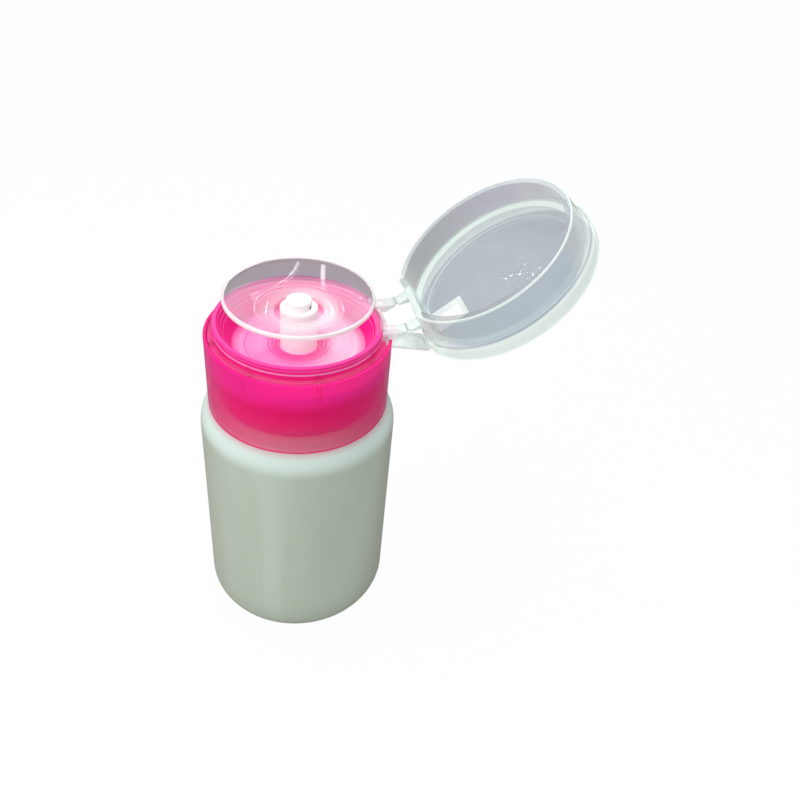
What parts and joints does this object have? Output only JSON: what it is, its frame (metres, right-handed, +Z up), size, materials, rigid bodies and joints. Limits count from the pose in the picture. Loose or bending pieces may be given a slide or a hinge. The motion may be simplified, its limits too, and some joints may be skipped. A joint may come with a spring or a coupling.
{
  "type": "nail polish remover pump",
  "caption": "Round press-top dispenser bottle with a translucent screw collar, a clear dish that is pressed down to pump remover into it, and a clear flip lid standing open.",
  "frame": {"origin": "centre of the bottle's base, on the surface it stands on", "axes": "+Z up along the bottle's axis, +X towards the lid's hinge, +Y along the hinge axis"},
  "size_m": [0.1052, 0.0552, 0.1328],
  "materials": {
    "bottle": "satin",
    "collar": "gloss",
    "clear": "gloss",
    "dish": "gloss",
    "stem": "satin",
    "pump": "satin",
    "seal": "matte",
    "steel": "polished"
  },
  "bodies": {
    "bottle_body": {"bottle": "bottle"},
    "pump_body": {"pump_housing": "pump", "neck_gasket": "seal", "stem_bush": "pump", "stem_wiper": "seal", "return_spring": "steel", "ball_retainer": "pump", "dip_tube": "pump"},
    "collar_body": {"collar": "collar", "hinge_ring": "clear"},
    "lid_body": {"lid": "clear"},
    "band_lower_body": {"band_lower": "clear"},
    "band_upper_body": {"band_upper": "clear"},
    "plunger_body": {"dish": "dish", "stem_sleeve": "stem", "nozzle": "stem", "piston_rod": "stem", "piston_seal": "seal"},
    "outlet_ball_body": {"outlet_ball": "steel"},
    "inlet_ball_body": {"inlet_ball": "steel"}
  },
  "joints": [
    {"name": "head_lift", "type": "slide", "parent": "bottle_body", "child": "pump_body", "axis": [0, 0, 1], "range_m": [0, 0.0053]},
    {"name": "collar_turn", "type": "hinge", "parent": "pump_body", "child": "collar_body", "pos_m": [0, 0, 0.089], "axis": [0, 0, 1], "range_deg": [0, 540]},
    {"name": "lid_hinge", "type": "hinge", "parent": "collar_body", "child": "lid_body", "pos_m": [0.0277, 0, 0.09831], "axis": [0, 1, 0], "range_deg": [-142.6, 4]},
    {"name": "band_lower_hinge", "type": "hinge", "parent": "collar_body", "child": "band_lower_body", "pos_m": [0.02465, 0, 0.09031], "axis": [0, 1, 0], "range_deg": [-95.8, 3.6]},
    {"name": "band_upper_hinge", "type": "hinge", "parent": "lid_body", "child": "band_upper_body", "pos_m": [0.03547, 0, 0.09318], "axis": [0, 1, 0], "range_deg": [-4.6, 140.2]},
    {"name": "plunger_slide", "type": "slide", "parent": "pump_body", "child": "plunger_body", "axis": [0, 0, -1], "range_m": [0, 0.0075], "stiffness_N_per_m": 400, "springref_m": -0.004, "deforming": ["return_spring"]},
    {"name": "outlet_valve", "type": "slide", "parent": "plunger_body", "child": "outlet_ball_body", "axis": [0, 0, 1], "range_m": [0, 0.0015]},
    {"name": "inlet_valve", "type": "slide", "parent": "pump_body", "child": "inlet_ball_body", "axis": [0, 0, 1], "range_m": [0, 0.0012]}
  ],
  "couplings": [
    {"joint": "head_lift", "follows": "collar_turn", "m_per_rad": 0.00055704},
    {"joint": "band_lower_hinge", "follows": "lid_hinge", "ratio": 0.66431},
    {"joint": "band_upper_hinge", "follows": "lid_hinge", "ratio": -0.9755}
  ]
}
